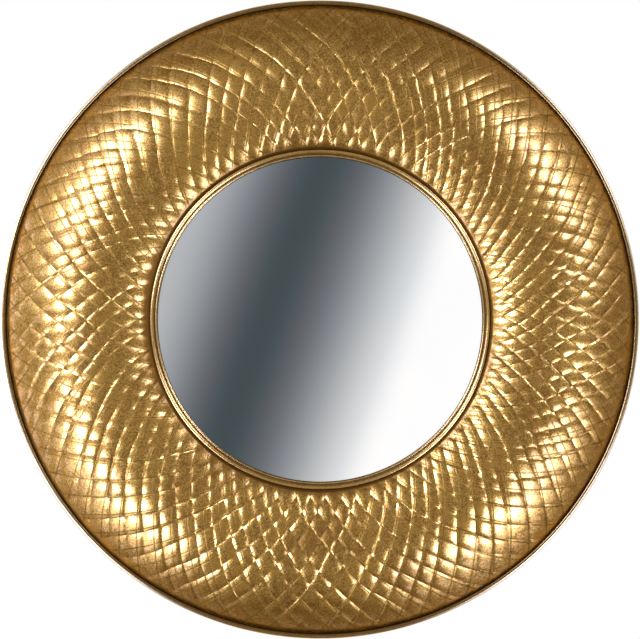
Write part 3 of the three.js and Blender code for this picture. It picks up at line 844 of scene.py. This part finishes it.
def zinc():
    """Zinc plate: bluish grey, clouded, with faint scratches and corners rubbed bright."""
    material, tree, shader, spot = new_material("zinc plate", metallic=1.0)
    rub = use_group(tree, rub_group, {"Vector": spot, "Amount": 0.6})
    cloud = noise(tree, spot, 160.0, 3.0, 0.55)
    frost = noise(tree, spot, 1100.0, 3.0, 0.6)
    colour = blend_of(tree, cloud.ramp(0.35, 0.65), tint("aeb1b3"), tint("c3c2b8"))
    colour = blend_of(tree, rub["Rubbed"] * 0.6, colour, tint("d9dadb"))
    colour = blend_of(tree, rub["Scratches"] * 0.5, colour, tint("82868a"))
    bump = place(tree, "ShaderNodeBump", {"Distance": 0.03 * mm, "Height": frost})
    feed(tree, colour, shader.inputs["Base Color"])
    feed(tree, cloud.ramp(0.3, 0.7, 0.28, 0.42) + rub["Scratches"] * 0.1, shader.inputs["Roughness"])
    feed(tree, bump.outputs[0], shader.inputs["Normal"])
    return material


zinc_plate = zinc()
CLIP_FRONT, CLIP_THICK, CLIP_SEAT, CLIP_SCREW = 24.48 * mm, 1 * mm, 209.7 * mm, 199.7 * mm


def clip_form(form):
    """A foot over the board, a bend, and a leg that goes back along the cup's wall."""
    length, bend, half = 18 * mm, 1.5 * mm, CLIP_THICK / 2
    middle = CLIP_FRONT - half
    foot = [(CLIP_SEAT - length + step * mm, middle) for step in (0, 0.4, 1, 1.8, 3, 8, 14)]
    corner = bow(CLIP_SEAT - half - bend, middle - bend, bend, 90, 0, 6)
    leg = [(CLIP_SEAT - half, depth * mm) for depth in (19, 16.6, 15.88, 15.48)]
    line = foot + corner + leg
    bent_strip(form, line, round_end(line, 7 * mm, 3 * mm), CLIP_THICK)


clip = soften(solid("clip", clip_form, zinc_plate), 0.15 * mm)
clips = arranged("clips", clip, zinc_plate, 6, 0, 60)
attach(clips, "mirror_frame")
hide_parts(*[f"board_clip_{i}" for i in range(1, 7)])


def screw_form(form):
    """A turned body from its tip to its head, and the recess sunk in the head as four slots."""
    head, seat, top = 3.5 * mm, 23.18 * mm, 20.78 * mm
    turned(form, [
        (0, 28.78 * mm),
        (0.5 * mm, 28.3 * mm),
        *[(radius * mm, (27.4 - step * 0.55) * mm) for step in range(7) for radius in (1.6, 1.25)],
        (1.6 * mm, seat),
        (head - 0.2 * mm, seat),
        *bow(head - 1.2 * mm, seat - 1.2 * mm, 1.2 * mm, 0, -62, 5),
        (0.9 * mm, top + 0.02 * mm),
        (0.75 * mm, top + 0.9 * mm),
        (0, top + 1.2 * mm),
    ], 24, CLIP_SCREW)
    for quarter in range(4):
        spin = Matrix.Rotation(math.radians(45 + 90 * quarter), 3, "Y")
        lift = Vector((0, 0, CLIP_SCREW))

        def corners(depth, places):
            return [form.verts.new(spin @ Vector((a * mm, -depth, b * mm)) + lift) for a, b in places]

        top_face = corners(top - 0.03 * mm, [(0.4, 0.45), (1.7, 0.3), (1.7, -0.3), (0.4, -0.45)])
        low_face = corners(top + 0.5 * mm, [(0.5, 0.3), (1.1, 0.2), (1.1, -0.2), (0.5, -0.3)])
        form.faces.new(top_face)
        form.faces.new(low_face[::-1])
        for j in range(4):
            k = (j + 1) % 4
            form.faces.new((top_face[j], low_face[j], low_face[k], top_face[k]))


screw = solid("screw", screw_form, zinc_plate, 30.0)
screws = arranged("clip_screws", screw, zinc_plate, 6, 0, 60)
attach(screws, "mirror_frame")
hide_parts(*[f"clip_screw_{i}" for i in range(1, 7)])

# ---------------------------------------------------------------- stays and wall bumpers
# Four flat bars, 25 by 3 mm, are welded from the cup to the rim. Each is joggled back to a flat foot
# that carries a rubber disc, so that the mirror stands clear of the wall. They are painted black.

STAY_FRONT, STAY_THICK = 15.18 * mm, 3 * mm
STAY_INNER, STAY_OUTER = 204.3 * mm, 398.25 * mm


def joggle(start, stop, high, low, pieces=10):
    """(height, depth) points that go from one level to the other in a smooth bend."""
    points = []
    for i in range(pieces + 1):
        share = i / pieces
        eased = share * share * (3 - 2 * share)
        points.append((start + (stop - start) * share, high + (low - high) * eased))
    return points


def stay_form(form):
    """A bar out from the cup, set back to its foot at the rim."""
    high, low = STAY_FRONT - STAY_THICK / 2, 6.5 * mm
    ramp_end, ramp_start = STAY_OUTER - 45 * mm, STAY_OUTER - 67 * mm
    head = [(STAY_INNER + step * mm, high) for step in (0, 0.5, 1.4, 3, 5, 30, 60, 90)]
    foot = [(STAY_OUTER - step * mm, low) for step in (30, 15, 5, 3, 1.4, 0.5, 0)]
    line = head + joggle(ramp_start, ramp_end, high, low) + foot
    bent_strip(form, line, round_end(line, 12.5 * mm, 4 * mm), STAY_THICK)


def painted_steel():
    """Black paint with a soft orange-peel skin, chipped to grey at the corners."""
    material, tree, shader, spot = new_material("black paint", coat_weight=0.15, coat_roughness=0.3)
    rub = use_group(tree, rub_group, {"Vector": spot, "Amount": 0.45})
    peel = noise(tree, spot, 520.0, 2.0)
    cloud = noise(tree, spot, 40.0, 3.0)
    colour = blend_of(tree, cloud.ramp(0.35, 0.65), tint("201f1d"), tint("2d2b28"))
    colour = blend_of(tree, rub["Scratches"] * 0.5, colour, tint("4a4743"))
    colour = blend_of(tree, rub["Rubbed"], colour, tint("77726b"))
    bump = place(tree, "ShaderNodeBump", {"Distance": 0.08 * mm, "Height": peel - rub["Rubbed"] * 0.5})
    feed(tree, colour, shader.inputs["Base Color"])
    feed(tree, rub["Rubbed"] * 0.9, shader.inputs["Metallic"])
    feed(tree, cloud.ramp(0.3, 0.7, 0.42, 0.55), shader.inputs["Roughness"])
    feed(tree, bump.outputs[0], shader.inputs["Normal"])
    return material


black = painted_steel()
stay = soften(solid("stay", stay_form, black), 0.35 * mm)
stays = arranged("stays", stay, black, 4, 45, 90)
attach(stays, "mirror_frame")
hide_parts("stay_top_right", "stay_bottom_right", "stay_bottom_left", "stay_top_left")


def bumper_form(form):
    """A moulded disc: a rounded shoulder, and a dished face that meets the wall at its rim."""
    edge, top = 9 * mm, 4.7 * mm
    turned(form, [
        (0, top),
        (edge - 0.8 * mm, top),
        (edge - 0.2 * mm, top - 0.3 * mm),
        (edge, top - 1 * mm),
        *bow(edge - 1.2 * mm, 1.2 * mm, 1.2 * mm, 0, -90, 5),
        (edge - 2.4 * mm, 0),
        (edge - 3.2 * mm, 0.5 * mm),
        (2 * mm, 0.8 * mm),
        (0, 0.8 * mm),
    ], 40)


bumper_rubber = rubber("bumper rubber", "18181a", "3a3836")
bumper = solid("bumper", bumper_form, bumper_rubber)
bumpers = arranged("wall_bumpers", bumper, bumper_rubber, 4, 45, 90, 375 * mm, 0.0)
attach(bumpers, "mirror_frame")
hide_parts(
    "wall_bumper_top_right", "wall_bumper_bottom_right", "wall_bumper_bottom_left",
    "wall_bumper_top_left",
)

# ---------------------------------------------------------------- hangers
# A zinc-plated strap on each top stay is rolled into an eye, and one closed rivet holds it. A D-shaped
# ring of 3 mm wire swings in the eye, and a wall hook goes through it.

HANGER = 270 * mm
STRAP_FRONT, STRAP_THICK, PIVOT_DEPTH, RIVET_DROP = 11.88 * mm, 1.2 * mm, 8.88 * mm, 7.5 * mm


def strap_form(form):
    """The strap about its rivet: up the stay, then rolled back round the ring's wire."""
    middle = STRAP_FRONT - STRAP_THICK / 2
    tail = [(step * mm, middle) for step in (-6, -5.6, -4.8, -3.6, -2, 1, 4)]
    eye = bow(RIVET_DROP, PIVOT_DEPTH, middle - PIVOT_DEPTH, 90, -218, 26)
    line = tail + eye
    bent_strip(form, line, round_end(line, 7 * mm, 3 * mm, both=False), STRAP_THICK)


strap = soften(solid("strap", strap_form, zinc_plate), 0.15 * mm)
straps = arranged("hanger_straps", strap, zinc_plate, 2, -45, 90, HANGER, 0.0)
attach(straps, "mirror_frame")
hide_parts("hanger_strap_left", "hanger_strap_right")


def rivet_form(form):
    head, tail = 10.38 * mm, 15.48 * mm
    turns = [turn * math.pi / 14 for turn in range(1, 7)]
    turned(form, [
        (0, tail + 1.2 * mm),
        *bow(2.7 * mm, tail + 0.4 * mm, 0.8 * mm, 90, 0, 3),
        (3.5 * mm, tail),
        (2 * mm, tail),
        (2 * mm, head),
        (3.5 * mm, head),
        *[(3.5 * mm * math.cos(turn), head - 1.8 * mm * math.sin(turn)) for turn in turns],
        (0, head - 1.8 * mm),
    ], 24)


rivet = solid("rivet", rivet_form, zinc_plate, 40.0)
rivets = arranged("hanger_rivets", rivet, zinc_plate, 2, -45, 90, HANGER, 0.0)
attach(rivets, "mirror_frame")
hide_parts("hanger_rivet_left", "hanger_rivet_right")


def ring_line():
    """The wire's middle line about its pivot: the straight side, two legs and a half round."""
    half, leg, corner = 10.5 * mm, 12 * mm, 2.5 * mm
    points = [(x * mm, 0.0) for x in (-6, -3, 0, 3, 6)]
    points += [
        (half - corner + corner * math.sin(t), -corner + corner * math.cos(t))
        for t in [math.pi / 2 * i / 6 for i in range(7)]
    ]
    points += [(half, -step * mm) for step in (5, 8, 11)]
    points += [
        (half * math.cos(t), -leg - half * math.sin(t)) for t in [math.pi * i / 28 for i in range(29)]
    ]
    points += [(-half, -step * mm) for step in (11, 8, 5)]
    points += [
        (-half + corner - corner * math.cos(t), -corner + corner * math.sin(t))
        for t in [math.pi / 2 * i / 6 for i in range(6)]
    ]
    return points


def wire_form(side):
    """A round wire along the ring's line, closed on itself, on the right (1) or the left (-1)."""

    def make(form):
        line = ring_line()
        x0, z0 = side * HANGER * math.sin(math.pi / 4), HANGER * math.cos(math.pi / 4) + RIVET_DROP
        wire, sides, rows = 1.5 * mm, 14, []
        for i, (x, z) in enumerate(line):
            before, after = line[i - 1], line[(i + 1) % len(line)]
            along = Vector((after[0] - before[0], 0, after[1] - before[1])).normalized()
            out = along.cross(Vector((0, 1, 0)))
            middle = Vector((x0 + x, -PIVOT_DEPTH, z0 + z))
            turns = [2 * math.pi * j / sides for j in range(sides)]
            rows.append([
                form.verts.new(middle + (out * math.cos(t) + Vector((0, 1, 0)) * math.sin(t)) * wire)
                for t in turns
            ])
        for i, row in enumerate(rows):
            after = rows[(i + 1) % len(rows)]
            for j in range(sides):
                k = (j + 1) % sides
                form.faces.new((row[j], row[k], after[k], after[j]))

    return make


for side, body in ((1, "right_ring"), (-1, "left_ring")):
    hand = body.split("_")[0]
    ring = solid(f"hanging_ring_{hand}", wire_form(side), zinc_plate, 60.0)
    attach(ring, body)
    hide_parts(f"hanger_ring_{hand}")

# ---------------------------------------------------------------- studio
# A pale floor and a white backdrop, with soft windows and thin curtains at the left and the right. A
# graded card in front shows in the glass alone, and gives it the gradient that it has.

FLOOR = -1.1
ROOM, SIDES = (0.478, 0.444, 0.351, 1.0), (0.28, 0.225, 0.15, 1.0)
floor_material, tree, shader, spot = new_material("studio floor", roughness=0.9, specular_ior_level=0.2)
scuff = noise(tree, spot, 1.5, 4.0)
pale = blend_of(tree, scuff.ramp(0.3, 0.7), tint("e9e8e6"), tint("e3e2df"))
feed(tree, pale, shader.inputs["Base Color"])
floor_mesh = bpy.data.meshes.new("floor")
floor_mesh.from_pydata(
    [(-4, -1.8, FLOOR), (4, -1.8, FLOOR), (4, 4, FLOOR), (-4, 4, FLOOR)], [], [(0, 1, 2, 3)]
)
floor_mesh.materials.append(floor_material)
floor = bpy.data.objects.new("floor", floor_mesh)
scene.collection.objects.link(floor)
floor.visible_glossy = False

world = bpy.data.worlds.new("studio")
scene.world = world
world.use_nodes = True
tree = world.node_tree
tree.nodes.clear()
path = tree.nodes.new("ShaderNodeLightPath")

# The metal sees a room of middle tone in front, darker at the sides, and white behind the mirror.
_, facing, _ = parts_of(tree, tree.nodes.new("ShaderNodeTexCoord").outputs["Generated"])
white = facing.ramp(-0.1, 0.12).math("MAXIMUM", Amount(tree, path.outputs["Is Camera Ray"]))
walls = blend_of(tree, facing.ramp(-0.52, -0.4), ROOM, SIDES)
background = place(tree, "ShaderNodeBackground", {"Color": blend_of(tree, white, walls, (1, 1, 1, 1))})
place(tree, "ShaderNodeOutputWorld", {0: background.outputs[0]})

DAYLIGHT, WINDOW_DISTANCE = (0.88, 1.0, 1.58), 3.2


def window(name, polar, around, width, height, radiance):
    """A soft light seen from the mirror at an angle from its axis, and round it from the right."""
    light = bpy.data.lights.new(name, "AREA")
    light.shape, light.size, light.size_y = "RECTANGLE", width, height
    light.energy = radiance * math.pi * width * height
    light.color = DAYLIGHT
    lamp = bpy.data.objects.new(name, light)
    scene.collection.objects.link(lamp)
    polar, around = math.radians(polar), math.radians(around)
    away = Vector((
        math.sin(polar) * math.cos(around), -math.cos(polar), math.sin(polar) * math.sin(around)
    ))
    lamp.location = away * WINDOW_DISTANCE
    lamp.rotation_euler = away.to_track_quat("Z", "Y").to_euler()
    lamp.visible_camera = False


window("left window", 42, 153, 1.2, 1.35, 14.5)
window("lower left window", 45.5, 217, 0.95, 1.25, 14.0)
window("right window", 50.5, 33, 0.8, 1.05, 11.3)
window("lower right window", 47.5, 317, 1.05, 1.45, 10.6)
window("side window", 94, 184, 0.9, 2.8, 3.8)
CURTAIN_ANGLE, CURTAIN_WIDTH = 67, 1.3
for name, around, height, radiance in (
    ("left curtain", 152, 2.4, 1.5),
    ("lower left curtain", 222, 1.9, 2.8),
    ("right curtain", 30, 1.8, 1.5),
    ("lower right curtain", 315, 2.6, 2.5),
):
    window(name, CURTAIN_ANGLE, around, CURTAIN_WIDTH, height, radiance)

# All but the glass see an even card of the room's tone in front, and the glass sees a graded one.
others = bpy.data.collections.new("all but the glass")
for piece in scene.collection.all_objects:
    if piece.type == "MESH" and piece != glass:
        others.objects.link(piece)
glass_only = bpy.data.collections.new("the glass")
glass_only.objects.link(glass)

CARD = 2.6


def card(name, distance, receivers, build):
    """A lit card in front, which only mirror-like paths from its receivers meet."""
    material = bpy.data.materials.new(name)
    material.use_nodes = True
    tree = material.node_tree
    tree.nodes.clear()
    place(tree, "ShaderNodeOutputMaterial", {0: build(tree)})
    mesh = bpy.data.meshes.new(name)
    corners = [(-CARD, -CARD), (CARD, -CARD), (CARD, CARD), (-CARD, CARD)]
    mesh.from_pydata([(x, -distance, z) for x, z in corners], [], [(3, 2, 1, 0)])
    mesh.materials.append(material)
    piece = bpy.data.objects.new(name, mesh)
    scene.collection.objects.link(piece)
    piece.visible_camera = piece.visible_diffuse = piece.visible_shadow = False
    piece.light_linking.receiver_collection = receivers


def even_card(tree):
    return place(tree, "ShaderNodeEmission", {"Color": ROOM}).outputs[0]


def graded_card(tree):
    """Grey on the left, darkest left of the middle, and white on the right, on a slant.

    Only the darkest band is bluish green.
    """
    x, _, z = parts_of(tree, tree.nodes.new("ShaderNodeTexCoord").outputs["Object"])
    lean, darkest, left_end, right_end = math.radians(20), -0.59, -1.9, 1.25
    across = x * math.cos(lean) - z * math.sin(lean)
    tone = 0.31 + across.ramp(darkest, left_end) * 0.43 + across.ramp(darkest, right_end) * 0.68
    hue = blend_of(tree, tone.ramp(0.33, 0.39), (0.8, 1.0, 1.08, 1.0), (0.91, 0.937, 1.02, 1.0))
    hue = blend_of(tree, tone.ramp(0.45, 0.8), hue, (0.94, 0.93, 0.945, 1.0))
    hue = blend_of(tree, tone.ramp(0.88, 0.98), hue, (1.06, 1.015, 1.01, 1.0))
    glow = place(tree, "ShaderNodeEmission", {"Color": hue, "Strength": tone.math("POWER", 2.2) * 1.1})
    clear = place(tree, "ShaderNodeBsdfTransparent")
    return place(tree, "ShaderNodeAddShader", {0: glow.outputs[0], 1: clear.outputs[0]}).outputs[0]


card("pale card", 5.2, others, even_card)
card("graded card", 5.1, glass_only, graded_card)

# The camera looks straight on, and the rim fills its frame.
VIEW_DISTANCE, FRAME_WIDTH, RIM_DEPTH, SENSOR = 4.2, 0.802, 0.012, 36
camera = bpy.data.objects.new("camera", bpy.data.cameras.new("camera"))
scene.collection.objects.link(camera)
camera.location = (0, -VIEW_DISTANCE, 0)
camera.rotation_euler = (math.radians(90), 0, 0)
camera.data.sensor_width = SENSOR
camera.data.lens = SENSOR * (VIEW_DISTANCE - RIM_DEPTH) / FRAME_WIDTH
camera.data.clip_end = 50
bpy.context.scene.camera = camera
scene.view_settings.view_transform = "Standard"
